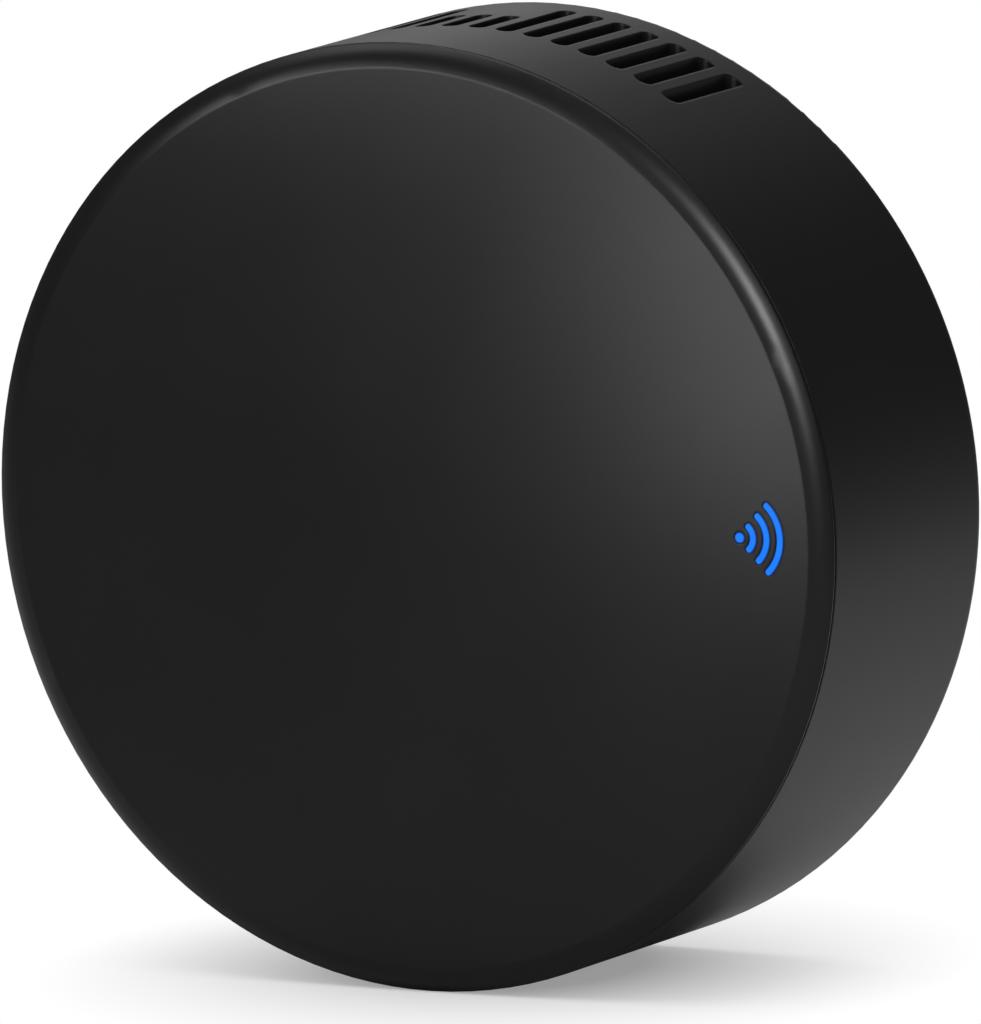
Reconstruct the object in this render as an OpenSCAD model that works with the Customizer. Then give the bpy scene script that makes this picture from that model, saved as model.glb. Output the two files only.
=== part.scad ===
// Smart infrared blaster: a round puck that lies on its rubber foot ring with its face up.
// The origin is the centre of the foot ring's underside and +Z points out of the front face.
// The vents face -X, the status icon lies towards +Y and the power inlet faces -Y.

/* [Case] */
// Diameter of the case
case_d = 66; // [64:1:74]
// Height of the front face above the surface that the puck lies on
case_h = 22.6; // [21.6:0.2:27]
// Thickness of the side wall
wall_t = 1.8; // [1.5:0.1:2.1]
// Thickness of the rear floor
floor_t = 2; // [1.8:0.1:2.4]
// Thickness of the front cover
cover_t = 2; // [1.8:0.1:2.4]
// Rounding between the side wall and the rear floor
rear_round = 1; // [0.6:0.1:1.4]

/* [Rim of the front cover] */
// Width of the rounded rim round the flat face
rim_w = 1.65; // [1.2:0.05:2.2]
// Drop of the rounded rim from the face to its outer edge
rim_drop = 0.7; // [0.4:0.05:0.9]
// Section radius of the rounded rim
rim_round = 3.2; // [2.4:0.1:5]
// Height of the upright edge under the rounded rim
rim_land = 0.1; // [0.1:0.05:0.3]
// Height of the parting groove between cover and wall
groove_h = 0.2; // [0.1:0.05:0.4]
// Depth of the parting groove
groove_depth = 0.3; // [0.2:0.05:0.5]
// Length of the cover's locating skirt
skirt_h = 2.5; // [1.5:0.1:3.5]
// Thickness of the locating skirt
skirt_t = 1.2; // [1:0.1:1.5]
// Gap between the skirt and the wall
skirt_gap = 0.1; // [0.05:0.05:0.2]
// Width of the key that turns the cover to its one place
key_w = 2; // [1.5:0.1:3]
// Gap round the key
key_gap = 0.2; // [0.1:0.05:0.4]

/* [Vents] */
// Number of long vents on each side of the short ones
long_vents = 7; // [4:1:8]
// Number of short vents in the middle
short_vents = 3; // [1:2:5]
// Width of one vent
vent_w = 1.3; // [0.8:0.1:1.5]
// Distance between neighbouring vents, measured straight across the row
vent_pitch = 2.14; // [2.1:0.02:2.5]
// Length of a long vent
long_vent_l = 9.8; // [8:0.1:12]
// Length of a short vent
short_vent_l = 5.7; // [4:0.1:8]
// Distance from the front face down to the vents
vent_drop = 9; // [6:0.1:9.5]

/* [Status icon] */
// Distance from the edge of the case to the centre of the dot
dot_inset = 7; // [6.8:0.1:8]
// Diameter of the dot
dot_d = 0.72; // [0.5:0.02:0.9]
// Radius of the first arc, and the step to each next arc
arc_step = 1.05; // [0.9:0.05:1.08]
// Number of arcs
arc_count = 3; // [1:1:3]
// Width of an arc's stroke
arc_stroke = 0.48; // [0.3:0.02:0.6]
// Angle from the middle of an arc to its end
arc_half_angle = 46; // [30:1:60]
// Gap between the lens and its seat in the cover
lens_gap = 0.05; // [0.02:0.01:0.1]
// Thickness of the lens plate under the face
lens_plate_t = 1.6; // [1.2:0.1:2]
// Depth that the lens plate sinks into the cover
lens_seat = 0.8; // [0.5:0.1:1]

/* [Foot] */
// Height that the foot ring stands proud of the rear floor
foot_proud = 0.6; // [0.4:0.1:1]
// Depth of the ring groove that holds the foot
foot_seat = 0.8; // [0.5:0.1:1]
// Width of the foot ring
foot_w = 12; // [8:0.5:12.5]
// Gap on each side of the foot ring in its groove
foot_gap = 0.1; // [0.05:0.05:0.3]
// Rounding of the foot ring's lower edges
foot_round = 0.3; // [0.1:0.05:0.35]

/* [Screws and bosses] */
// Distance from the case axis to each screw
screw_reach = 19.5; // [19:0.1:20]
// Diameter of the screw shank
screw_d = 2.2; // [1.8:0.1:2.4]
// Length of the screw under its head
screw_l = 10; // [8:0.5:12]
// Diameter of the screw head
screw_head_d = 4.4; // [3.6:0.1:4.6]
// Height of the screw head
screw_head_h = 1.5; // [1.2:0.1:1.8]
// Clearance of the shank in the cover's pilot holes
thread_gap = 0.02; // [0.01:0.01:0.04]
// Clearance of the shank in the board and the rear bosses
shank_gap = 0.2; // [0.1:0.05:0.3]
// Clearance of the head in its counterbore
head_gap = 0.3; // [0.2:0.05:0.4]
// Plastic round each pilot hole and counterbore
boss_wall = 1.3; // [1.1:0.1:1.5]

/* [Main board] */
// Thickness of the circuit board
board_t = 1.6; // [1:0.1:2]
// Gap between the board's edge and the wall
board_gap = 0.8; // [0.6:0.1:1]
// Height of the board's underside above the rear floor
board_lift = 3.4; // [3.2:0.1:4]
// Width of the isolation slots beside the climate sensor
slot_w = 1.2; // [0.8:0.1:1.5]
// Length of the isolation slots from the board's edge inward
slot_l = 7.5; // [6:0.5:8]

/* [Infrared LEDs] */
// Diameter of an LED's body
led_d = 5; // [4.6:0.1:5]
// Height of an LED from the base of its flange to the tip
led_l = 8.6; // [7.8:0.1:8.8]
// Diameter of an LED's flange
led_flange_d = 5.8; // [5.4:0.1:5.8]
// Thickness of an LED's flange
led_flange_t = 1; // [0.8:0.1:1.2]
// Width of a square LED lead
lead_w = 0.5; // [0.4:0.05:0.55]
// Distance between the leads of an LED
lead_pitch = 2.54; // [2.4:0.02:2.6]
// Length that a lead passes below the board
lead_tail = 1.2; // [0.6:0.1:1.6]
// Clearance round a lead in its board hole
lead_gap = 0.12; // [0.08:0.02:0.2]
// Gap between an LED's tip and the inner wall
led_wall_gap = 1.4; // [1:0.1:1.6]

/* [Power inlet] */
// Width of the inlet's metal shell
usb_w = 7.5; // [7:0.1:8]
// Height of the inlet's metal shell
usb_h = 2.7; // [2.4:0.1:2.9]
// Depth of the inlet's metal shell
usb_l = 6.2; // [5.6:0.1:6.4]
// Thickness of the shell's sheet
usb_sheet = 0.3; // [0.2:0.05:0.4]
// Chamfer of the shell's two lower corners
usb_chamfer = 0.8; // [0.5:0.1:1]
// Width of the contact tongue
tongue_w = 3.7; // [3:0.1:4]
// Thickness of the contact tongue
tongue_t = 0.6; // [0.5:0.05:0.7]
// Length of the plastic that closes the shell's back
tongue_base_l = 1.8; // [1.4:0.1:2]
// Distance from the tongue's tip to the mouth
tongue_inset = 0.7; // [0.4:0.1:1]
// Gap between the shell and its window in the wall
usb_gap = 0.25; // [0.15:0.05:0.3]
// Width of the flat recess round the inlet
recess_w = 12.4; // [11:0.2:13]
// Height of the flat recess round the inlet
recess_h = 8; // [7:0.2:8.4]
// Depth of the recess at the middle of the wall
recess_depth = 1; // [0.8:0.05:1.1]
// Corner rounding of the recess
recess_round = 1.5; // [1:0.1:2]

/* [Reset button] */
// Direction of the button round the case, beside the inlet
button_turn = 292; // [290:0.5:294]
// Diameter of the button's cap
button_d = 3.8; // [3:0.1:4]
// Travel of the button
button_travel = 0.25; // [0.15:0.05:0.3]
// Distance that the cap lies below the wall's outer face
button_inset = 0.3; // [0.2:0.05:0.5]
// Diameter of the collar that keeps the button in
collar_d = 5.2; // [5:0.1:5.4]
// Thickness of the collar
collar_t = 1; // [0.8:0.1:1.2]
// Running gap between the cap and its bore
button_gap = 0.08; // [0.05:0.01:0.1]
// Height of the button's axis above the board
button_lift = 3.2; // [3.1:0.1:3.4]
// Width of the tact switch
switch_w = 6; // [5:0.1:6]
// Depth of the tact switch behind its plunger
switch_depth = 3.6; // [3.2:0.1:4]
// Height of the tact switch
switch_h = 5; // [4.8:0.1:5.4]
// Diameter of the plunger
plunger_d = 2.4; // [2:0.1:2.6]
// Length of plunger that shows between the switch and the button
plunger_show = 1.3; // [1:0.1:1.5]

/* [Radio module] */
// Length of the radio module
radio_l = 24; // [20:0.5:24.5]
// Width of the radio module
radio_w = 16; // [14:0.5:16.5]
// Thickness of the module's board
radio_t = 0.8; // [0.6:0.1:1]
// Length of the shield can
shield_l = 16; // [14:0.5:16.5]
// Height of the shield can
shield_h = 2.3; // [2:0.1:3]
// Thickness of the can's sheet
shield_sheet = 0.3; // [0.2:0.05:0.4]
// Margin between the can and the module's long edges
shield_margin = 1.2; // [1:0.1:1.4]
// Distance between the pads on the module's long edges
pad_pitch = 2; // [1.8:0.1:2]
// Number of pads on each long edge
pad_count = 8; // [4:1:8]
// Diameter of the half-round pads
pad_d = 0.9; // [0.6:0.1:1]

/* [Small parts] */
// Side of the climate sensor
sensor_w = 3; // [2.5:0.1:3.2]
// Height of the climate sensor
sensor_h = 0.9; // [0.7:0.1:1.2]
// Diameter of the sensor's air hole
sensor_hole_d = 1; // [0.6:0.1:1.2]
// Width of the infrared receiver
receiver_w = 6.4; // [5.6:0.1:6.8]
// Length of the infrared receiver
receiver_l = 7; // [6.4:0.1:7.2]
// Thickness of the infrared receiver behind its lens
receiver_t = 3.4; // [3:0.1:3.8]
// Diameter of the receiver's lens
receiver_lens_d = 4.6; // [4:0.1:5]
// Diameter of the bulk capacitor
cap_d = 6.3; // [5:0.1:6.4]
// Height of the bulk capacitor
cap_h = 7.7; // [5.4:0.1:8.5]
// Length of the regulator's body
regulator_l = 6.5; // [6:0.1:6.6]
// Width of the regulator's body
regulator_w = 3.5; // [3.2:0.1:3.6]
// Height of the regulator's body
regulator_h = 1.7; // [1.4:0.1:1.9]
// Length of a transistor's body
transistor_l = 2.9; // [2.6:0.1:3]
// Width of a transistor's body
transistor_w = 1.3; // [1.2:0.1:1.5]
// Height of a transistor's body
transistor_h = 1; // [0.9:0.1:1.2]
// Length of a chip resistor or chip capacitor
chip_l = 1.6; // [1.2:0.1:1.8]
// Width of a chip resistor or chip capacitor
chip_w = 0.8; // [0.6:0.1:1]

/* [Hidden] */
$fn = 96;

// Overrun of every cut past the face that it opens
over = 0.5;

// Directions round the case, in degrees from +X
icon_turn = 90;
vent_turn = 181.5;
inlet_turn = 270;
key_turn = 330;
receiver_turn = 342;
sensor_turn = 200;
boss_turns = [30, 150, 270];
side_led_turns = [8, 60, 120, 175, 232, 315];

// Heights of the case
case_r = case_d / 2;
inner_r = case_r - wall_t;
floor_z = foot_proud + floor_t;
parting_z = case_h - rim_drop - rim_land;
cover_under_z = case_h - cover_t;
skirt_outer_r = inner_r - skirt_gap;
skirt_inner_r = skirt_outer_r - skirt_t;
key_depth = skirt_gap + skirt_t * 0.6;

// Centre of the circle that rounds the rim, found from the chord between its two ends
rim_chord = sqrt(rim_w * rim_w + rim_drop * rim_drop);
rim_sagitta_leg = sqrt(rim_round * rim_round - rim_chord * rim_chord / 4);
rim_centre_r = case_r - rim_w / 2 - rim_sagitta_leg * rim_drop / rim_chord;
rim_centre_z = case_h - rim_drop / 2 - rim_sagitta_leg * rim_w / rim_chord;

// Main board and what stands on it
board_r = inner_r - board_gap;
board_z = floor_z + board_lift;
board_top = board_z + board_t;

// Screws and bosses
shank_r = screw_d / 2;
pilot_r = shank_r + thread_gap;
clear_r = shank_r + shank_gap;
head_bore_r = screw_head_d / 2 + head_gap;
cover_boss_r = pilot_r + boss_wall + shank_gap * 2;
rear_boss_r = head_bore_r + boss_wall;
foot_groove_z = foot_proud + foot_seat;
head_seat_z = board_z - screw_head_h - boss_wall;
screw_tip_z = head_seat_z + screw_l;
pilot_top_z = screw_tip_z + boss_wall;
boss_rib_t = skirt_t * 0.8;
boss_rib_h = skirt_h * 2;
rest_t = boss_wall;
rest_l = board_gap * 2.5;
rest_turns = [90, 222, 345];
drive_w = screw_d * 0.28;
drive_depth = screw_head_h * 0.5;

// Foot ring, centred under the screws so that it covers them
foot_inner_r = screw_reach - foot_w / 2;
foot_outer_r = screw_reach + foot_w / 2;

// Vents
vent_count = 2 * long_vents + short_vents;
vent_top_z = case_h - vent_drop;

// Icon and lens
dot_reach = case_r - dot_inset;
lens_top_z = cover_under_z + lens_seat;
lens_under_z = lens_top_z - lens_plate_t;
arc_reach = arc_step * arc_count + arc_stroke / 2;
lens_rim = arc_stroke * 2;
lens_half_w = arc_reach * sin(arc_half_angle) + lens_rim;
lens_inner_reach = dot_reach - dot_d / 2 - lens_rim;
lens_outer_r = skirt_inner_r - skirt_gap * 2;
shroud_t = lens_rim * 0.75;
shroud_peg_r = shroud_t * 0.8;
shroud_peg_l = board_t;
status_led_w = lens_half_w;
status_led_l = status_led_w * 0.8;
status_led_h = shroud_t * 2.6;
status_led_reach = (lens_inner_reach + lens_outer_r) / 2;
light_well_share = 0.72;

// Infrared LEDs: each side LED lies on the board with its axis pointing outward
led_tip_reach = inner_r - led_wall_gap;
led_base_reach = led_tip_reach - led_l;
led_axis_z = board_top + led_flange_d / 2 + lead_gap;
lead_bend_reach = led_base_reach - led_flange_t * 2;
lead_hole_r = lead_w / sqrt(2) + lead_gap;
front_led_y = radio_w / 2 + led_flange_d / 2 + 3 * lead_w;

// Power inlet
usb_wall_y = -(case_r - recess_depth);
usb_mouth_y = usb_wall_y + usb_gap;
usb_mid_z = board_top + usb_h / 2;
usb_tab_l = usb_l * 0.25;
usb_tab_y = usb_mouth_y + usb_l * 0.72;

// Reset button: positions along its own axis, measured from the case axis
button_z = board_top + button_lift;
cap_r = button_d / 2;
cap_face = case_r - button_inset;
land_r = collar_d / 2 + button_gap * 2;
land_face = inner_r - board_gap;
collar_face = land_face - button_gap;
collar_back = collar_face - collar_t;
switch_face = collar_back - plunger_show;
switch_back = switch_face - switch_depth;
plunger_r = plunger_d / 2;
plunger_well = switch_depth * 0.6;

// Radio module, with its can towards -X and its antenna end towards +X
shield_x = -radio_l / 2 + shield_margin / 2;
shield_w = radio_w - 2 * shield_margin;
shield_round = shield_sheet * 3;

// Receiver
receiver_reach = board_r * 0.79;
receiver_lead_l = lead_w * 3;

// Places of the small parts: along the edges of the radio module, or as shares of the board's radius
part_gap = 1.6;
chip_gap = part_gap + chip_w / 2;
radio_end_x = radio_l / 2;
radio_edge_y = radio_w / 2;
regulator_x_share = 0.25;
regulator_y = -radio_edge_y - part_gap - regulator_w;
cap_x_share = -0.21;
cap_y = -radio_edge_y - part_gap - cap_d / 2;
sensor_reach_share = 0.86;
transistor_x = radio_end_x + part_gap + transistor_l / 2;
front_transistor_x = led_flange_d / 2 + part_gap + transistor_l / 2;
transistor_places = [
    [transistor_x, -transistor_w], [-transistor_x, -transistor_w],
    [front_transistor_x, front_led_y + led_flange_d / 2]
];
chip_resistor_reach_share = 0.675;
chip_resistor_turn = 9.5;
chip_capacitor_places = [
    [radio_end_x + chip_gap, -radio_edge_y - chip_gap], [chip_l, -radio_edge_y - chip_gap],
    [-radio_end_x - chip_gap, -radio_edge_y], [-front_led_y / 2, radio_edge_y + chip_gap],
    [front_led_y / 2, radio_edge_y + chip_gap]
];

black_plastic = [0.13, 0.13, 0.135];
board_green = [0.05, 0.28, 0.14];
chip_black = [0.07, 0.07, 0.075];
tin = [0.75, 0.75, 0.76];

// Moves its children outward along a direction round the case
module at(turn, reach, z = 0) {
    rotate([0, 0, turn])
        translate([reach, 0, z])
            children();
}

// Plate with rounded upright corners, centred in X and Y and standing on z = 0
module rounded_plate(length, width, height, round) {
    cube_l = length - 2 * round;
    cube_w = width - 2 * round;
    translate([-length / 2, -cube_w / 2, 0])
        cube([length, cube_w, height]);
    translate([-cube_l / 2, -width / 2, 0])
        cube([cube_l, width, height]);
    for (x = [-cube_l / 2, cube_l / 2], y = [-cube_w / 2, cube_w / 2])
        translate([x, y, 0])
            cylinder(r = round, h = height);
}

// Rod along +X from the case axis, at one height and between two reaches
module radial_rod(turn, z, from, to, r) {
    rotate([0, 0, turn])
        translate([from, 0, z])
            rotate([0, 90, 0])
                cylinder(r = r, h = to - from);
}

// Outline of the front cover from its axis to its rim, with the skirt
module cover_section() {
    difference() {
        union() {
            translate([0, cover_under_z])
                square([skirt_outer_r, cover_t]);
            translate([0, parting_z])
                square([case_r, case_h - parting_z]);
            translate([skirt_inner_r, cover_under_z - skirt_h])
                square([skirt_t, skirt_h + cover_t / 2]);
        }
        difference() {
            translate([case_r - rim_w, case_h - rim_drop])
                square([rim_w + over, rim_drop + over]);
            translate([rim_centre_r, rim_centre_z])
                circle(r = rim_round);
        }
    }
}

// One stroke of the icon, concentric with the dot and opening outward, with round ends
module icon_arc(radius, stroke, height) {
    rotate([0, 0, -arc_half_angle])
        rotate_extrude(angle = 2 * arc_half_angle)
            translate([radius - stroke / 2, 0])
                square([stroke, height]);
    for (end = [-arc_half_angle, arc_half_angle])
        rotate([0, 0, end])
            translate([radius, 0, 0])
                cylinder(r = stroke / 2, h = height);
}

// Dot and arcs, grown on every side by a gap
module icon_strokes(z, height, gap) {
    at(icon_turn, dot_reach, z) {
        cylinder(r = dot_d / 2 + gap, h = height);
        for (k = [1:arc_count])
            icon_arc(arc_step * k, arc_stroke + 2 * gap, height);
    }
}

// Plate that carries the icon strokes, grown on every side by a gap
module lens_plate(z, height, gap) {
    intersection() {
        rotate([0, 0, icon_turn])
            translate([lens_inner_reach - gap, -lens_half_w - gap, z])
                cube([lens_outer_r, 2 * (lens_half_w + gap), height]);
        translate([0, 0, z])
            cylinder(r = lens_outer_r + gap, h = height);
    }
}

module front_cover() {
    color(black_plastic)
        difference() {
            union() {
                rotate_extrude()
                    cover_section();
                for (turn = boss_turns) {
                    at(turn, screw_reach, board_top)
                        cylinder(r = cover_boss_r, h = cover_under_z - board_top + cover_t / 2);
                    at(turn, screw_reach + pilot_r + boss_wall / 2, cover_under_z - boss_rib_h)
                        translate([0, -boss_rib_t / 2, 0])
                            cube([skirt_inner_r + skirt_t / 2 - screw_reach - pilot_r - boss_wall / 2,
                                  boss_rib_t, boss_rib_h + cover_t / 2]);
                }
            }
            for (turn = boss_turns)
                at(turn, screw_reach, board_top - over)
                    cylinder(r = pilot_r, h = pilot_top_z - board_top + over);
            at(key_turn, skirt_inner_r - over, cover_under_z - skirt_h - over)
                translate([0, -key_w / 2 - key_gap, 0])
                    cube([skirt_t + skirt_gap + over, key_w + 2 * key_gap, skirt_h + over]);
            lens_plate(lens_under_z - over, lens_plate_t + over, lens_gap);
            icon_strokes(lens_top_z - over, case_h - lens_top_z + 2 * over, lens_gap);
        }
}

// Stadium-shaped cutter for one vent: all vents open straight out, so that one slide can mould them
module vent_cutter(offset, length) {
    low = vent_top_z - length + vent_w / 2;
    high = vent_top_z - vent_w / 2;
    root = sqrt(inner_r * inner_r - pow(abs(offset) + vent_w / 2, 2)) - over;
    rotate([0, 0, vent_turn])
        translate([root, offset, 0]) {
            for (z = [low, high])
                translate([0, 0, z])
                    rotate([0, 90, 0])
                        cylinder(r = vent_w / 2, h = case_r - root + over);
            translate([0, -vent_w / 2, low])
                cube([case_r - root + over, vent_w, high - low]);
        }
}

// Outline of the cup from its axis to its outer wall
module cup_section() {
    difference() {
        translate([0, foot_proud])
            square([case_r, parting_z - foot_proud]);
        translate([0, floor_z])
            square([inner_r, parting_z]);
        difference() {
            translate([case_r - rear_round, foot_proud - over])
                square([rear_round + over, rear_round + over]);
            translate([case_r - rear_round, foot_proud + rear_round])
                circle(r = rear_round);
        }
        translate([case_r - groove_depth, parting_z - groove_h])
            square([groove_depth + over, groove_h + over]);
        translate([foot_inner_r - foot_gap, foot_proud - over])
            square([foot_w + 2 * foot_gap, foot_seat + over]);
    }
}

// Rib inside the wall that carries the board's edge
module board_rest(turn) {
    at(turn, board_r - rest_l, floor_z - over)
        translate([0, -rest_t / 2, 0])
            cube([rest_l + board_gap + wall_t / 2, rest_t, board_lift + over]);
}

module rear_housing() {
    color(black_plastic)
        difference() {
            union() {
                rotate_extrude()
                    cup_section();
                for (turn = boss_turns)
                    at(turn, screw_reach, foot_groove_z + floor_t / 4)
                        cylinder(r = rear_boss_r, h = board_z - foot_groove_z - floor_t / 4);
                for (turn = rest_turns)
                    board_rest(turn);
                at(key_turn, inner_r - key_depth, cover_under_z - skirt_h)
                    translate([0, -key_w / 2, 0])
                        cube([key_depth + wall_t / 2, key_w, skirt_h - key_gap]);
                radial_rod(button_turn, button_z, land_face, inner_r + wall_t / 2, land_r);
            }
            for (turn = boss_turns) {
                at(turn, screw_reach, foot_proud)
                    cylinder(r = clear_r, h = board_z + over);
                at(turn, screw_reach, foot_proud)
                    cylinder(r = head_bore_r, h = head_seat_z - foot_proud);
            }
            for (i = [0:vent_count - 1])
                vent_cutter((i - (vent_count - 1) / 2) * vent_pitch,
                            i < long_vents || i >= long_vents + short_vents ? long_vent_l : short_vent_l);
            radial_rod(button_turn, button_z, land_face - over, case_r + over, cap_r + button_gap);
            translate([0, usb_wall_y, usb_mid_z])
                rotate([90, 0, 0])
                    rounded_plate(recess_w, recess_h, recess_depth + over, recess_round);
            translate([0, -inner_r + 2 * wall_t, usb_mid_z])
                rotate([90, 0, 0])
                    rounded_plate(usb_w + 2 * usb_gap, usb_h + 2 * usb_gap, 3 * wall_t, usb_gap * 2);
        }
}

module foot_pad() {
    color([0.09, 0.09, 0.09])
        rotate_extrude()
            difference() {
                translate([foot_inner_r, 0])
                    square([foot_w, foot_groove_z]);
                difference() {
                    translate([foot_inner_r - over, -over])
                        square([foot_round + over, foot_round + over]);
                    translate([foot_inner_r + foot_round, foot_round])
                        circle(r = foot_round);
                }
                difference() {
                    translate([foot_outer_r - foot_round, -over])
                        square([foot_round + over, foot_round + over]);
                    translate([foot_outer_r - foot_round, foot_round])
                        circle(r = foot_round);
                }
            }
}

module case_screws() {
    color(tin)
        for (turn = boss_turns)
            at(turn, screw_reach, head_seat_z - screw_head_h)
                difference() {
                    union() {
                        cylinder(r = screw_head_d / 2, h = screw_head_h);
                        cylinder(r = shank_r, h = screw_head_h + screw_l);
                    }
                    for (quarter = [0, 90])
                        rotate([0, 0, quarter])
                            translate([-screw_d / 2, -drive_w / 2, -over])
                                cube([screw_d, drive_w, drive_depth + over]);
                }
}

module icon_lens() {
    color([0.1, 0.5, 1])
        union() {
            lens_plate(lens_under_z, lens_plate_t, 0);
            icon_strokes(lens_top_z - lens_seat / 2, case_h - lens_top_z + lens_seat / 2, 0);
        }
}

module light_shroud() {
    color([0.9, 0.9, 0.88])
        union() {
            difference() {
                lens_plate(board_top, lens_under_z - board_top, 0);
                at(icon_turn, status_led_reach, board_top - over)
                    translate([-light_well_share * (lens_outer_r - lens_inner_reach) / 2,
                               -lens_half_w + shroud_t, 0])
                        cube([light_well_share * (lens_outer_r - lens_inner_reach),
                              2 * (lens_half_w - shroud_t), lens_under_z - board_top + 2 * over]);
            }
            for (side = [-1, 1])
                at(icon_turn, lens_inner_reach + shroud_t, board_top - shroud_peg_l)
                    translate([0, side * (lens_half_w - shroud_t), 0])
                        cylinder(r = shroud_peg_r, h = shroud_peg_l + over);
        }
}

module status_led() {
    color([0.95, 0.95, 0.92])
        at(icon_turn, status_led_reach, board_top)
            difference() {
                translate([-status_led_l / 2, -status_led_w / 2, 0])
                    cube([status_led_l, status_led_w, status_led_h]);
                translate([0, 0, status_led_h / 2])
                    cylinder(r1 = status_led_l / 4, r2 = status_led_l * 0.45, h = status_led_h);
            }
}

// Pair of board holes for the leads of an LED
module lead_holes(turn, reach) {
    for (side = [-1, 1])
        at(turn, reach, board_z - over)
            translate([0, side * lead_pitch / 2, 0])
                cylinder(r = lead_hole_r, h = board_t + 2 * over);
}

module main_board() {
    color(board_green)
        difference() {
            translate([0, 0, board_z])
                cylinder(r = board_r, h = board_t);
            for (turn = boss_turns)
                at(turn, screw_reach, board_z - over)
                    cylinder(r = clear_r, h = board_t + 2 * over);
            for (turn = side_led_turns)
                lead_holes(turn, lead_bend_reach);
            lead_holes(icon_turn, front_led_y);
            for (side = [-1, 0, 1])
                at(receiver_turn, receiver_reach - receiver_l / 2 - receiver_lead_l, board_z - over)
                    translate([0, side * lead_pitch, 0])
                        cylinder(r = lead_hole_r, h = board_t + 2 * over);
            for (side = [-1, 1])
                at(icon_turn, lens_inner_reach + shroud_t, board_z - over)
                    translate([0, side * (lens_half_w - shroud_t), 0])
                        cylinder(r = shroud_peg_r + shank_gap / 2, h = board_t + 2 * over);
            for (side = [-1, 1])
                translate([side * (usb_w - usb_sheet) / 2 - usb_sheet,
                           usb_tab_y - usb_tab_l / 2 - usb_gap, board_z - over])
                    cube([2 * usb_sheet, usb_tab_l + 2 * usb_gap, board_t + 2 * over]);
            for (side = [-1, 1])
                rotate([0, 0, sensor_turn])
                    translate([board_r - slot_l, side * (sensor_w + slot_w) / 2 * 1.25 - slot_w / 2,
                               board_z - over])
                        cube([slot_l + over, slot_w, board_t + 2 * over]);
        }
}

// Infrared LED with its flange's base at x = 0 and its dome towards +X
module led_body() {
    rotate([0, 90, 0])
        rotate_extrude()
            difference() {
                union() {
                    square([led_d / 2, led_l]);
                    square([led_flange_d / 2, led_flange_t]);
                }
                difference() {
                    translate([0, led_l - led_d / 2])
                        square([led_d / 2 + over, led_d / 2 + over]);
                    translate([0, led_l - led_d / 2])
                        circle(r = led_d / 2);
                }
            }
}

// LED lying on the board, with leads bent down through their holes
module side_led(turn) {
    drop = led_axis_z - board_z + lead_tail;
    run = led_base_reach - lead_bend_reach;
    color([0.55, 0.6, 0.72])
        at(turn, led_base_reach, led_axis_z) {
            led_body();
            for (side = [-1, 1])
                translate([0, side * lead_pitch / 2, 0]) {
                    translate([-run - lead_w / 2, -lead_w / 2, -lead_w / 2])
                        cube([run + lead_w / 2 + led_flange_t / 2, lead_w, lead_w]);
                    translate([-run - lead_w / 2, -lead_w / 2, -drop])
                        cube([lead_w, lead_w, drop]);
                }
        }
}

module ir_led_front() {
    color([0.55, 0.6, 0.72])
        at(icon_turn, front_led_y, board_top) {
            rotate([0, -90, 0])
                led_body();
            for (side = [-1, 1])
                translate([-lead_w / 2, side * lead_pitch / 2 - lead_w / 2, -board_t - lead_tail])
                    cube([lead_w, lead_w, board_t + lead_tail + led_flange_t / 2]);
        }
}

module ir_receiver() {
    drop = board_t + lead_tail + receiver_t / 2;
    color(chip_black)
        at(receiver_turn, receiver_reach, board_top) {
            rounded_plate(receiver_l, receiver_w, receiver_t, lead_w);
            translate([receiver_l * 0.08, 0, receiver_t])
                intersection() {
                    sphere(r = receiver_lens_d / 2);
                    translate([-receiver_lens_d, -receiver_lens_d, -receiver_t / 4])
                        cube([2 * receiver_lens_d, 2 * receiver_lens_d, receiver_lens_d]);
                }
            for (side = [-1, 0, 1])
                translate([-receiver_l / 2, side * lead_pitch - lead_w / 2, 0]) {
                    translate([-receiver_lead_l - lead_w / 2, 0, receiver_t / 2 - lead_w / 2])
                        cube([receiver_lead_l + lead_w, lead_w, lead_w]);
                    translate([-receiver_lead_l - lead_w / 2, 0, receiver_t / 2 - drop])
                        cube([lead_w, lead_w, drop]);
                }
        }
}

module wifi_board() {
    color([0.04, 0.09, 0.2])
        difference() {
            translate([-radio_l / 2, -radio_w / 2, board_top])
                cube([radio_l, radio_w, radio_t]);
            for (i = [0:pad_count - 1], side = [-1, 1])
                translate([shield_x + shield_margin + i * pad_pitch, side * radio_w / 2, board_top - over])
                    cylinder(r = pad_d / 2, h = radio_t + 2 * over, $fn = 24);
        }
}

module wifi_shield() {
    color(tin)
        translate([shield_x + shield_l / 2, 0, board_top + radio_t])
            difference() {
                rounded_plate(shield_l, shield_w, shield_h, shield_round);
                translate([0, 0, -over])
                    rounded_plate(shield_l - 2 * shield_sheet, shield_w - 2 * shield_sheet,
                                  shield_h - shield_sheet + over, shield_round - shield_sheet);
            }
}

// Outline of the inlet's mouth, centred, with its two lower corners cut off
module usb_outline(inset) {
    half_w = usb_w / 2 - inset;
    half_h = usb_h / 2 - inset;
    cut = usb_chamfer - inset * 0.6;
    polygon([
        [-half_w, half_h], [half_w, half_h], [half_w, cut - half_h],
        [half_w - cut, -half_h], [cut - half_w, -half_h], [-half_w, cut - half_h]
    ]);
}

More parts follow.
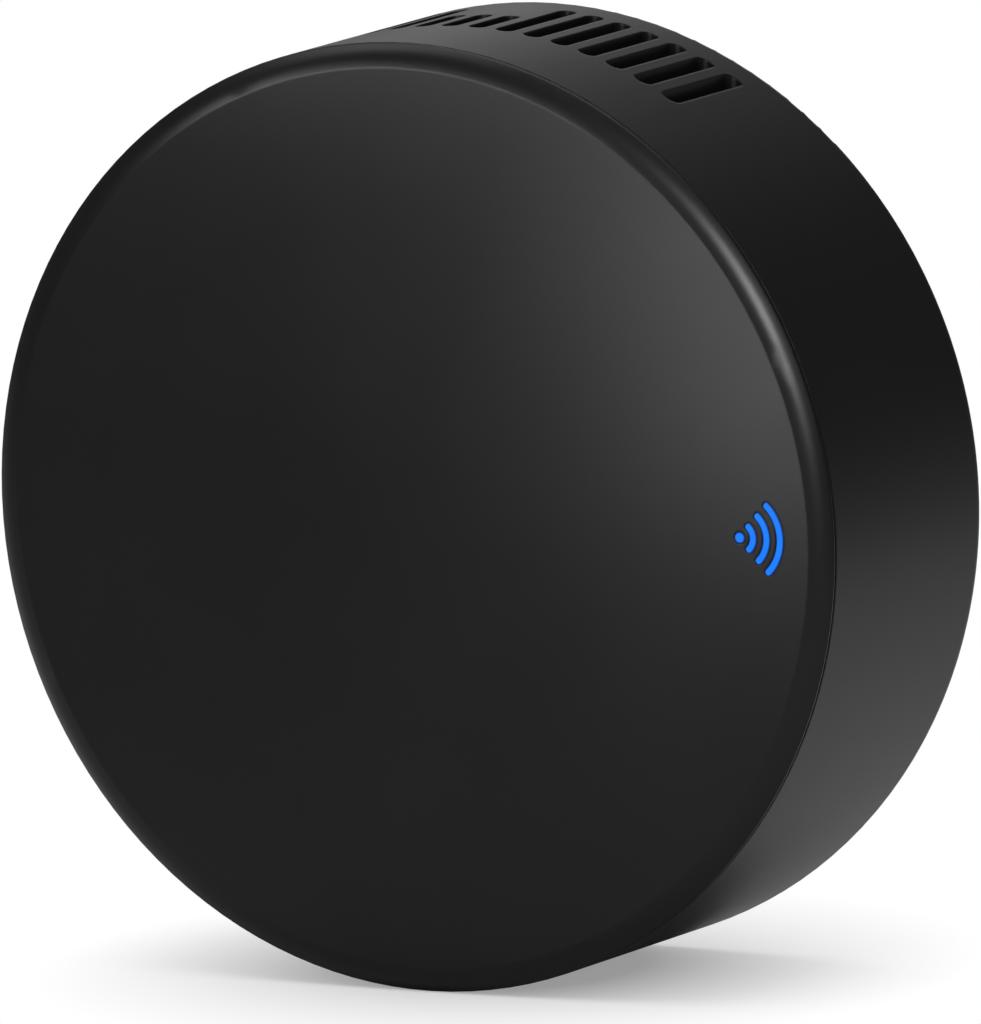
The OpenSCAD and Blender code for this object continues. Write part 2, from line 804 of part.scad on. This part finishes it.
module usb_shell() {
    color(tin)
        union() {
            translate([0, usb_mouth_y + usb_l, usb_mid_z])
                rotate([90, 0, 0])
                    difference() {
                        linear_extrude(height = usb_l)
                            usb_outline(0);
                        translate([0, 0, -over])
                            linear_extrude(height = usb_l + 2 * over)
                                usb_outline(usb_sheet);
                    }
            for (side = [-1, 1])
                translate([side * (usb_w - usb_sheet) / 2 - usb_sheet / 2,
                           usb_tab_y - usb_tab_l / 2, board_z])
                    cube([usb_sheet, usb_tab_l, board_t + usb_h / 2]);
        }
}

module usb_tongue() {
    color(chip_black)
        union() {
            translate([0, usb_mouth_y + usb_l, usb_mid_z])
                rotate([90, 0, 0])
                    linear_extrude(height = tongue_base_l)
                        usb_outline(usb_sheet);
            translate([-tongue_w / 2, usb_mouth_y + tongue_inset, usb_mid_z + usb_h / 2 - usb_sheet - 2 * tongue_t])
                cube([tongue_w, usb_l - tongue_inset - tongue_base_l / 2, tongue_t]);
        }
}

module switch_body() {
    color(chip_black)
        difference() {
            at(button_turn, switch_back, board_top)
                translate([0, -switch_w / 2, 0])
                    cube([switch_depth, switch_w, switch_h]);
            radial_rod(button_turn, button_z, switch_face - plunger_well, switch_face + over,
                       plunger_r + button_gap);
        }
}

module switch_plunger() {
    color([0.8, 0.8, 0.78])
        radial_rod(button_turn, button_z, switch_face - plunger_well + 2 * button_travel, collar_back, plunger_r);
}

module reset_button() {
    color([0.18, 0.18, 0.19])
        union() {
            radial_rod(button_turn, button_z, collar_back, cap_face, cap_r);
            radial_rod(button_turn, button_z, collar_back, collar_face, collar_d / 2);
        }
}

module climate_sensor() {
    color([0.85, 0.85, 0.83])
        at(sensor_turn, board_r * sensor_reach_share, board_top)
            difference() {
                translate([-sensor_w / 2, -sensor_w / 2, 0])
                    cube([sensor_w, sensor_w, sensor_h]);
                translate([0, 0, sensor_h / 2])
                    cylinder(r = sensor_hole_d / 2, h = sensor_h);
            }
}

module regulator() {
    lead_l = regulator_w * 0.5;
    lead_t = regulator_h * 0.16;
    color(chip_black)
        translate([board_r * regulator_x_share, regulator_y, board_top]) {
            translate([-regulator_l / 2, -regulator_w / 2, lead_t])
                cube([regulator_l, regulator_w, regulator_h - lead_t]);
            translate([-regulator_l / 4, 0, 0])
                cube([regulator_l / 2, regulator_w / 2 + lead_l, 2 * lead_t]);
            for (side = [-1, 0, 1])
                translate([side * regulator_l * 0.35 - lead_w / 2, -regulator_w / 2 - lead_l, 0])
                    cube([lead_w, lead_l + regulator_w / 4, 2 * lead_t]);
        }
}

module bulk_capacitor() {
    base_h = cap_h * 0.14;
    neck_h = cap_h * 0.05;
    neck_r = cap_d * 0.46;
    base_w = cap_d * 1.04;
    color([0.72, 0.73, 0.75])
        translate([board_r * cap_x_share, cap_y, board_top]) {
            translate([-base_w / 2, -base_w / 2, 0])
                cube([base_w, base_w, base_h]);
            cylinder(r = neck_r, h = cap_h - base_h);
            translate([0, 0, base_h + neck_h])
                cylinder(r = cap_d / 2, h = cap_h - base_h - neck_h);
        }
}

// Three-legged transistor, centred, with one leg towards +Y
module transistor() {
    leg_t = transistor_h * 0.2;
    leg_l = transistor_w * 0.42;
    translate([-transistor_l / 2, -transistor_w / 2, leg_t])
        cube([transistor_l, transistor_w, transistor_h - leg_t]);
    for (leg = [[-1, -1], [1, -1], [0, 1]])
        translate([leg[0] * transistor_l / 3 - lead_w / 2,
                   leg[1] * (transistor_w + leg_l) / 2 - leg_l / 2 - leg_t, 0])
            cube([lead_w, leg_l + 2 * leg_t, 2 * leg_t]);
}

module led_transistors() {
    color(chip_black)
        for (place = transistor_places)
            translate([place[0], place[1], board_top])
                transistor();
}

module chip_resistors() {
    color([0.1, 0.1, 0.12])
        for (turn = side_led_turns)
            at(turn + chip_resistor_turn, board_r * chip_resistor_reach_share, board_top)
                translate([-chip_l / 2, -chip_w / 2, 0])
                    cube([chip_l, chip_w, chip_w / 2]);
}

module chip_capacitors() {
    color([0.62, 0.5, 0.36])
        for (place = chip_capacitor_places)
            translate([place[0] - chip_l / 2, place[1] - chip_w / 2, board_top])
                cube([chip_l, chip_w, chip_w]);
}

front_cover();
rear_housing();
foot_pad();
case_screws();
icon_lens();
light_shroud();
status_led();
main_board();
side_led(side_led_turns[0]);  // ir_led_side_1
side_led(side_led_turns[1]);  // ir_led_side_2
side_led(side_led_turns[2]);  // ir_led_side_3
side_led(side_led_turns[3]);  // ir_led_side_4
side_led(side_led_turns[4]);  // ir_led_side_5
side_led(side_led_turns[5]);  // ir_led_side_6
ir_led_front();
ir_receiver();
wifi_board();
wifi_shield();
usb_shell();
usb_tongue();
switch_body();
switch_plunger();
reset_button();
climate_sensor();
regulator();
bulk_capacitor();
led_transistors();
chip_resistors();
chip_capacitors();
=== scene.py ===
"""Smart infrared blaster: materials, small fittings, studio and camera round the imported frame.

Metres, in the row's frame: the puck lies on its foot ring, +Z out of its face, -X through its vents.
The photograph shows it stood on its edge, so the studio's floor is the plane that its +X side rests on.
"""
import bmesh
import bpy
import math
from mathutils import Matrix, Vector


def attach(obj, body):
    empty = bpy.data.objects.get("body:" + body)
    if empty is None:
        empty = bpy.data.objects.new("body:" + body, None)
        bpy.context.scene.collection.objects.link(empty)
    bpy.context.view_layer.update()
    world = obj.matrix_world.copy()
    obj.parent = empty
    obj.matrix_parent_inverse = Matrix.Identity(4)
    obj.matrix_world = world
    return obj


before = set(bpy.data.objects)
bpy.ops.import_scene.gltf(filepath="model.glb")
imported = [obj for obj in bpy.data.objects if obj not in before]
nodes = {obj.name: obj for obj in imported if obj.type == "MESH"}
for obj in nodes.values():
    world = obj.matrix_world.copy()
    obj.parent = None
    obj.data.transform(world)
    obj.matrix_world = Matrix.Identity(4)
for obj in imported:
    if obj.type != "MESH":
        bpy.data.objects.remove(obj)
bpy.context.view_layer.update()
scene = bpy.context.scene
MM = 0.001
scene.view_settings.view_transform = "Standard"

# Icon: the place of its dot, the spacing of its arcs, how far the dot's radius passes half a stroke,
# and the distances from a stroke's middle between which the glow fades
ICON_DOT = (0, 26 * MM, 22.6 * MM)
ARC_STEP = 1.05 * MM
DOT_EXTRA = 0.12 * MM
GLOW_FADE = (0.16 * MM, 0.25 * MM)

# Surfaces: how far the roughness of plastic and metal wanders, metal's grain, and a board's bare edge
SATIN_DRIFT = 0.009
METAL_DRIFT = 0.06
METAL_GRAIN = 2500
BARE_LAMINATE = (0.12, 0.11, 0.06)


# Node helpers

def new_material(name):
    """An empty material with a Principled shader on its output."""
    mat = bpy.data.materials.new(name)
    mat.use_nodes = True
    tree = mat.node_tree
    tree.nodes.clear()
    out = tree.nodes.new("ShaderNodeOutputMaterial")
    bsdf = tree.nodes.new("ShaderNodeBsdfPrincipled")
    tree.links.new(bsdf.outputs["BSDF"], out.inputs["Surface"])
    return mat, tree, bsdf


def noise(tree, scale, detail=2.0, rough=0.5, stretch=None):
    """Noise in the object's own coordinates, with features about 1/scale metres wide."""
    coords = tree.nodes.new("ShaderNodeTexCoord")
    source = coords.outputs["Object"]
    if stretch:
        mapping = tree.nodes.new("ShaderNodeMapping")
        mapping.inputs["Scale"].default_value = stretch
        tree.links.new(source, mapping.inputs["Vector"])
        source = mapping.outputs["Vector"]
    tex = tree.nodes.new("ShaderNodeTexNoise")
    tex.inputs["Scale"].default_value = scale
    tex.inputs["Detail"].default_value = detail
    tex.inputs["Roughness"].default_value = rough
    tree.links.new(source, tex.inputs["Vector"])
    return tex.outputs["Fac"]


def spread(tree, value, low, high, start=0.3, end=0.7):
    """Maps a value from one range onto another, with its ends clamped."""
    ranged = tree.nodes.new("ShaderNodeMapRange")
    ranged.inputs["From Min"].default_value = start
    ranged.inputs["From Max"].default_value = end
    ranged.inputs["To Min"].default_value = low
    ranged.inputs["To Max"].default_value = high
    tree.links.new(value, ranged.inputs["Value"])
    return ranged.outputs["Result"]


def feed(tree, value, socket):
    """Links a value that comes from a node, and sets a plain one directly."""
    if isinstance(value, bpy.types.NodeSocket):
        tree.links.new(value, socket)
    else:
        socket.default_value = value


def choose(tree, factor, off, on):
    """A number that is one input where the factor is zero and another where it is one."""
    mix = tree.nodes.new("ShaderNodeMix")
    for value, name in ((off, "A"), (on, "B"), (factor, "Factor")):
        feed(tree, value, mix.inputs[name])
    return mix.outputs["Result"]


def arithmetic(tree, operation, first, second=0.0):
    """One step of arithmetic, whose second number doesn't count where the operation takes only one."""
    step = tree.nodes.new("ShaderNodeMath")
    step.operation = operation
    feed(tree, first, step.inputs[0])
    feed(tree, second, step.inputs[1])
    return step.outputs["Value"]


def distance_from(tree, point):
    """Distance from a point in the object's own coordinates."""
    coords = tree.nodes.new("ShaderNodeTexCoord")
    span = tree.nodes.new("ShaderNodeVectorMath")
    span.operation = "DISTANCE"
    span.inputs[1].default_value = point
    tree.links.new(coords.outputs["Object"], span.inputs[0])
    return span.outputs["Value"]


def rgba(colour):
    """A colour with its alpha, or the socket that it comes from."""
    return colour if isinstance(colour, bpy.types.NodeSocket) else (*colour, 1)


def blend_colour(tree, factor, first, second):
    """Mixes two colours, plain ones or sockets, by a 0 to 1 value."""
    mix = tree.nodes.new("ShaderNodeMix")
    mix.data_type = "RGBA"
    feed(tree, rgba(first), mix.inputs["A"])
    feed(tree, rgba(second), mix.inputs["B"])
    tree.links.new(factor, mix.inputs["Factor"])
    return mix.outputs["Result"]


def add_bump(tree, bsdf, height, distance, strength=1.0, edge=None):
    """Bumps the shader's normal, over edges that are softened to a radius if one is given."""
    bump = tree.nodes.new("ShaderNodeBump")
    bump.inputs["Strength"].default_value = strength
    bump.inputs["Distance"].default_value = distance
    tree.links.new(height, bump.inputs["Height"])
    if edge:
        bevel = tree.nodes.new("ShaderNodeBevel")
        bevel.samples = 6
        bevel.inputs["Radius"].default_value = edge
        tree.links.new(bevel.outputs["Normal"], bump.inputs["Normal"])
    tree.links.new(bump.outputs["Normal"], bsdf.inputs["Normal"])


def moulded(name, dark, light, rough, specular, grain=6500, depth=0.004 * MM, edge=0.22 * MM):
    """Moulded plastic: a fine spark-eroded grain, faint tone drift and slightly uneven satin."""
    mat, tree, bsdf = new_material(name)
    colour = blend_colour(tree, spread(tree, noise(tree, 60, 4), 0, 1), dark, light)
    tree.links.new(colour, bsdf.inputs["Base Color"])
    satin = spread(tree, noise(tree, 140, 5, 0.6), rough - SATIN_DRIFT, rough + SATIN_DRIFT)
    tree.links.new(satin, bsdf.inputs["Roughness"])
    bsdf.inputs["Specular IOR Level"].default_value = specular
    add_bump(tree, bsdf, noise(tree, grain, 2, 0.6), depth, 0.6, edge)
    return mat


def metal(name, dark, light, rough, stretch=(1, 1, 1)):
    """Plated sheet or wire with a drawn grain and a little tarnish."""
    mat, tree, bsdf = new_material(name)
    colour = blend_colour(tree, spread(tree, noise(tree, 400, 3), 0, 1), dark, light)
    tree.links.new(colour, bsdf.inputs["Base Color"])
    drawn = noise(tree, METAL_GRAIN, 3, 0.6, stretch)
    worn = spread(tree, drawn, rough - METAL_DRIFT, rough + METAL_DRIFT)
    tree.links.new(worn, bsdf.inputs["Roughness"])
    bsdf.inputs["Metallic"].default_value = 1.0
    add_bump(tree, bsdf, noise(tree, METAL_GRAIN, 2, 0.5, stretch), 0.003 * MM, 0.5, 0.05 * MM)
    return mat


def laminate(name, mask, copper, track=900):
    """Circuit board: solder mask over raised copper tracks, with bare glass laminate on its edges."""
    mat, tree, bsdf = new_material(name)
    coords = tree.nodes.new("ShaderNodeTexCoord")
    tracks = tree.nodes.new("ShaderNodeTexBrick")
    tracks.offset = 0.5
    tracks.inputs["Scale"].default_value = track
    tracks.inputs["Mortar Size"].default_value = 0.12
    tracks.inputs["Mortar Smooth"].default_value = 0.3
    tracks.inputs["Brick Width"].default_value = 1.9
    tracks.inputs["Row Height"].default_value = 0.55
    tree.links.new(coords.outputs["Object"], tracks.inputs["Vector"])
    colour = blend_colour(tree, tracks.outputs["Fac"], mask, copper)
    geometry = tree.nodes.new("ShaderNodeNewGeometry")
    axis = tree.nodes.new("ShaderNodeSeparateXYZ")
    tree.links.new(geometry.outputs["Normal"], axis.inputs["Vector"])
    upright = arithmetic(tree, "ABSOLUTE", axis.outputs["Z"])
    faced = blend_colour(tree, upright, BARE_LAMINATE, colour)
    tree.links.new(faced, bsdf.inputs["Base Color"])
    tree.links.new(spread(tree, noise(tree, 500, 3), 0.24, 0.36), bsdf.inputs["Roughness"])
    add_bump(tree, bsdf, tracks.outputs["Fac"], 0.03 * MM, 0.5)
    return mat


def clear_epoxy(name, tint, deep, rough, through):
    """Cast epoxy, clear enough to see into, with slight swirls in its tint."""
    mat, tree, bsdf = new_material(name)
    colour = blend_colour(tree, spread(tree, noise(tree, 700, 3), 0, 1), tint, deep)
    tree.links.new(colour, bsdf.inputs["Base Color"])
    tree.links.new(spread(tree, noise(tree, 1200, 2), rough, rough + 0.08), bsdf.inputs["Roughness"])
    bsdf.inputs["Transmission Weight"].default_value = through
    bsdf.inputs["IOR"].default_value = 1.54
    return mat


def glowing_blue(name):
    """Clear blue light window whose glow fades towards the edges of the dot and of its arcs."""
    mat, tree, bsdf = new_material(name)
    reach = distance_from(tree, ICON_DOT)
    from_arc = arithmetic(tree, "PINGPONG", reach, ARC_STEP / 2)
    from_dot = arithmetic(tree, "SUBTRACT", reach, DOT_EXTRA)
    in_arcs = arithmetic(tree, "GREATER_THAN", reach, ARC_STEP / 2)
    edge = spread(tree, choose(tree, in_arcs, from_dot, from_arc), 0, 1, *GLOW_FADE)
    fade = arithmetic(tree, "ADD", edge, spread(tree, noise(tree, 900, 2), 0, 0.12))
    colour = blend_colour(tree, fade, (0.005, 0.21, 1.0), (0.002, 0.045, 0.26))
    tree.links.new(colour, bsdf.inputs["Emission Color"])
    bsdf.inputs["Emission Strength"].default_value = 0.95
    bsdf.inputs["Base Color"].default_value = (0.001, 0.012, 0.08, 1)
    bsdf.inputs["Specular IOR Level"].default_value = 0.06
    tree.links.new(spread(tree, noise(tree, 5000, 2), 0.3, 0.4), bsdf.inputs["Roughness"])
    add_bump(tree, bsdf, noise(tree, 6500, 2), 0.003 * MM, 0.5)
    return mat


# Materials of the CAD nodes

MATERIALS = {
    "cover": moulded("cover_black", (0.0018, 0.0018, 0.0021), (0.0026, 0.0026, 0.0029), 0.3, 0.17),
    "housing": moulded("housing_black", (0.0032, 0.0028, 0.0029), (0.0042, 0.0036, 0.0037),
                       0.36, 0.13),
    "button": moulded("button_black", (0.007, 0.007, 0.0073), (0.009, 0.009, 0.0093), 0.45, 0.25,
                      edge=0.12 * MM),
    "rubber": moulded("foot_rubber", (0.014, 0.014, 0.014), (0.022, 0.022, 0.021), 0.78, 0.3,
                      grain=2600, depth=0.012 * MM, edge=0.1 * MM),
    "screw": metal("zinc_plate", (0.5, 0.5, 0.51), (0.68, 0.68, 0.68), 0.34),
    "lens": glowing_blue("icon_blue_glow"),
    "shroud": moulded("shroud_white", (0.74, 0.74, 0.72), (0.82, 0.82, 0.8), 0.55, 0.4,
                      edge=0.08 * MM),
    "led_package": moulded("led_white", (0.8, 0.78, 0.7), (0.88, 0.86, 0.78), 0.45, 0.4,
                           edge=0.05 * MM),
    "board": laminate("board_green", (0.012, 0.09, 0.035), (0.03, 0.19, 0.07)),
    "radio_board": laminate("radio_blue", (0.008, 0.016, 0.06), (0.02, 0.04, 0.13), 1400),
    "ir_epoxy": clear_epoxy("ir_epoxy_blue", (0.35, 0.42, 0.6), (0.25, 0.3, 0.48), 0.06, 0.75),
    "receiver": clear_epoxy("receiver_dark_epoxy", (0.02, 0.016, 0.022), (0.03, 0.02, 0.03),
                            0.12, 0.15),
    "shield": metal("tinned_sheet", (0.56, 0.56, 0.57), (0.72, 0.72, 0.73), 0.3, (6, 1, 1)),
    "connector": metal("nickel_plate", (0.58, 0.57, 0.55), (0.74, 0.73, 0.7), 0.26, (1, 8, 1)),
    "black_nylon": moulded("connector_nylon", (0.01, 0.01, 0.011), (0.018, 0.018, 0.018), 0.5, 0.4,
                           edge=0.04 * MM),
    "plunger": moulded("plunger_ivory", (0.62, 0.6, 0.54), (0.72, 0.7, 0.64), 0.4, 0.4,
                       edge=0.05 * MM),
    "sensor": moulded("sensor_white", (0.7, 0.7, 0.68), (0.82, 0.82, 0.8), 0.5, 0.4,
                      edge=0.04 * MM),
    "chip": moulded("moulded_epoxy", (0.012, 0.012, 0.013), (0.022, 0.022, 0.023), 0.62, 0.35,
                    grain=9000, depth=0.006 * MM, edge=0.05 * MM),
    "can": metal("drawn_aluminium", (0.66, 0.67, 0.69), (0.8, 0.81, 0.82), 0.24, (1, 1, 10)),
    "resistor": moulded("resistor_glaze", (0.012, 0.012, 0.015), (0.025, 0.025, 0.03), 0.25, 0.5,
                        edge=0.03 * MM),
    "ceramic": moulded("fired_ceramic", (0.34, 0.24, 0.14), (0.46, 0.34, 0.21), 0.42, 0.4,
                       edge=0.03 * MM),
    "gold": metal("gold_flash", (0.72, 0.48, 0.14), (0.86, 0.6, 0.2), 0.2, (1, 6, 1)),
}

NODE_MATERIALS = {
    "front_cover": "cover", "rear_housing": "housing", "foot_pad": "rubber", "case_screws": "screw",
    "icon_lens": "lens", "light_shroud": "shroud", "status_led": "led_package", "main_board": "board",
    "ir_led_front": "ir_epoxy", "ir_receiver": "receiver", "wifi_board": "radio_board",
    "wifi_shield": "shield", "usb_shell": "connector", "usb_tongue": "black_nylon",
    "switch_body": "black_nylon", "switch_plunger": "plunger", "reset_button": "button",
    "climate_sensor": "sensor", "regulator": "chip", "bulk_capacitor": "can",
    "led_transistors": "chip", "chip_resistors": "resistor", "chip_capacitors": "ceramic",
}

for node_name, node_object in nodes.items():
    chosen = MATERIALS[NODE_MATERIALS.get(node_name, "ir_epoxy")]
    for slot in node_object.material_slots:
        slot.material = chosen


# Contacts on the inlet's tongue

CONTACTS = 5
CONTACT_PITCH = 0.65 * MM
CONTACT_HALF_W = 0.16 * MM
TONGUE_UNDER_Z = 8.8 * MM
CONTACT_TIP_Y = -30.9 * MM
# Outline of one strip in millimetres: inward from its tip, and up from the tongue's underside
CONTACT_SECTION = [(0, 0), (0, -0.03), (0.12, -0.08), (3.3, -0.08), (3.3, 0)]

contact_mesh = bmesh.new()
for number in range(CONTACTS):
    middle = (number - (CONTACTS - 1) / 2) * CONTACT_PITCH
    ends = [[contact_mesh.verts.new((x, CONTACT_TIP_Y + along * MM, TONGUE_UNDER_Z + up * MM))
             for along, up in CONTACT_SECTION]
            for x in (middle - CONTACT_HALF_W, middle + CONTACT_HALF_W)]
    contact_mesh.faces.new(ends[0])
    contact_mesh.faces.new(list(reversed(ends[1])))
    count = len(CONTACT_SECTION)
    for k in range(count):
        after = (k + 1) % count
        contact_mesh.faces.new((ends[0][after], ends[0][k], ends[1][k], ends[1][after]))
bmesh.ops.recalc_face_normals(contact_mesh, faces=contact_mesh.faces)
contacts_data = bpy.data.meshes.new("inlet_contacts")
contact_mesh.to_mesh(contacts_data)
contact_mesh.free()
contacts = bpy.data.objects.new("inlet_contacts", contacts_data)
scene.collection.objects.link(contacts)
contacts_data.materials.append(MATERIALS["gold"])
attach(contacts, "case")


# Camera, from the fit to the photograph

RIGHT = Vector((0.03527, 0.86771, -0.49582))
UP = Vector((-0.98721, -0.04694, -0.15238))
BACK = Vector((-0.1555, 0.49485, 0.85495))
FACE = Vector((0, 0, 22.6 * MM))
CAMERA_PLACE = Vector((-0.29067, 0.928764, 1.616049))
SENSOR_WIDTH = 36
LENS = 955.584

camera_data = bpy.data.cameras.new("camera")
camera = bpy.data.objects.new("camera", camera_data)
scene.collection.objects.link(camera)
axes = Matrix((RIGHT, UP, BACK)).transposed().to_4x4()
camera.matrix_world = Matrix.Translation(CAMERA_PLACE) @ axes
camera_data.sensor_width = SENSOR_WIDTH
camera_data.lens = LENS
camera_data.clip_start = 0.05
camera_data.clip_end = 20
scene.camera = camera


# Studio

def panel(name, right, up, back, width, height, strength, aim=(0, 0, 0)):
    """Soft box placed from the face's middle along the camera's axes, aimed at a point set likewise."""
    data = bpy.data.lights.new(name, "AREA")
    data.shape = "RECTANGLE"
    data.size = width
    data.size_y = height
    data.energy = strength * width * height * math.pi
    lamp = bpy.data.objects.new(name, data)
    scene.collection.objects.link(lamp)
    lamp.location = FACE + RIGHT * right + UP * up + BACK * back
    target = FACE + RIGHT * aim[0] + UP * aim[1] + BACK * aim[2]
    lamp.rotation_mode = "QUATERNION"
    lamp.rotation_quaternion = (target - lamp.location).to_track_quat("-Z", "Y")
    lamp.visible_camera = False
    return lamp


# Two soft boxes that light the puck and its floor, then those whose reflections shade the puck
panel("top_box", 0.0, 0.5, 0.1, 0.5, 0.5, 2.9)
panel("back_box", 0.03, 0.27, -0.54, 0.25, 0.25, 0.62, aim=(0.0, 0.03, 0.0))
SHADING = [
    panel("sky_box", 0.215, 0.385, -0.405, 0.25, 0.25, 0.16, aim=(0.0, 0.03, 0.0)),
    panel("front_box", -0.25, 0.35, 0.6, 0.4, 0.4, 0.3),
    panel("left_box", -0.38, 0.47, 0.1, 0.3, 0.3, 4.5, aim=(0.0, 0.03, 0.0)),
    panel("rim_box", -0.1135, 0.068, 0.495, 0.12, 0.12, 46.0, aim=(0.024, 0.015, 0.017)),
    panel("face_box", -0.0499, -0.0071, 0.0599, 0.03, 0.012, 15.5, aim=(0.0264, 0.0163, 0.0183)),
    panel("crease_box", -0.0527, 0.0274, 0.0353, 0.01, 0.05, 15.0, aim=(-0.001, 0.0306, 0.005)),
]

# The eye and rays through clear parts see white all round. Reflections see a white sweep below that
# darkens up to the horizon, and all other rays get the light of a grey room.
ROOM_LEVEL = 0.35
ABOVE_LEVEL = 0.16
SWEEP_FADE = (-0.02, 0.4)
world = bpy.data.worlds.new("studio")
world.use_nodes = True
scene.world = world
sky = world.node_tree
background = sky.nodes["Background"]
background.inputs["Color"].default_value = (1, 1, 1, 1)
direction = sky.nodes.new("ShaderNodeTexCoord")
down = sky.nodes.new("ShaderNodeSeparateXYZ")
sky.links.new(direction.outputs["Generated"], down.inputs["Vector"])
sweep = spread(sky, down.outputs["X"], ABOVE_LEVEL, 1.0, *SWEEP_FADE)
ray = sky.nodes.new("ShaderNodeLightPath")
level = choose(sky, ray.outputs["Is Glossy Ray"], ROOM_LEVEL, sweep)
level = choose(sky, ray.outputs["Is Transmission Ray"], level, 1.0)
level = choose(sky, ray.outputs["Is Camera Ray"], level, 1.0)
sky.links.new(level, background.inputs["Strength"])

FLOOR_X = 0.033
FLOOR_REACH = 0.13
UNDER_PUCK = (FLOOR_X, 0, 11.3 * MM)
BOUNCED_FADE = (0.022, 0.07)
SEEN_FADE = (0.0095, 0.033)
SEEN_LEAST = 0.3
floor_mesh = bpy.data.meshes.new("floor")
floor_mesh.from_pydata(
    [(FLOOR_X, -FLOOR_REACH, -FLOOR_REACH), (FLOOR_X, -FLOOR_REACH, FLOOR_REACH),
     (FLOOR_X, FLOOR_REACH, FLOOR_REACH), (FLOOR_X, FLOOR_REACH, -FLOOR_REACH)],
    [], [(0, 1, 2, 3)])
floor = bpy.data.objects.new("floor", floor_mesh)
scene.collection.objects.link(floor)

paper, tree, bsdf = new_material("floor_paper")
bsdf.inputs["Base Color"].default_value = (0.9, 0.9, 0.9, 1)
bsdf.inputs["Roughness"].default_value = 0.9
bsdf.inputs["Specular IOR Level"].default_value = 0.0

# Paper near the puck takes its shadow. Further out it turns pure white, and for the eye it does so
# nearer to the puck than for bounced rays.
reach = distance_from(tree, UNDER_PUCK)
bounced = spread(tree, reach, 0, 1, *BOUNCED_FADE)
seen = spread(tree, reach, SEEN_LEAST, 1, *SEEN_FADE)
floor_ray = tree.nodes.new("ShaderNodeLightPath")
whiteness = choose(tree, floor_ray.outputs["Is Camera Ray"], bounced, seen)
white = tree.nodes.new("ShaderNodeEmission")
white.inputs["Color"].default_value = (1, 1, 1, 1)
white.inputs["Strength"].default_value = 1.0
shade = tree.nodes.new("ShaderNodeMixShader")
tree.links.new(whiteness, shade.inputs["Fac"])
tree.links.new(bsdf.outputs["BSDF"], shade.inputs[1])
tree.links.new(white.outputs["Emission"], shade.inputs[2])

# From below, the paper is clear
under = tree.nodes.new("ShaderNodeNewGeometry")
clear = tree.nodes.new("ShaderNodeBsdfTransparent")
sided = tree.nodes.new("ShaderNodeMixShader")
tree.links.new(under.outputs["Backfacing"], sided.inputs["Fac"])
tree.links.new(shade.outputs["Shader"], sided.inputs[1])
tree.links.new(clear.outputs["BSDF"], sided.inputs[2])
tree.links.new(sided.outputs["Shader"], tree.nodes["Material Output"].inputs["Surface"])
floor_mesh.materials.append(paper)

# The shading boxes leave the floor out, so that they cast no second shadow on it
left_out = bpy.data.collections.new("left_out")
left_out.objects.link(floor)
left_out.collection_objects[0].light_linking.link_state = "EXCLUDE"
for lamp in SHADING:
    lamp.light_linking.receiver_collection = left_out
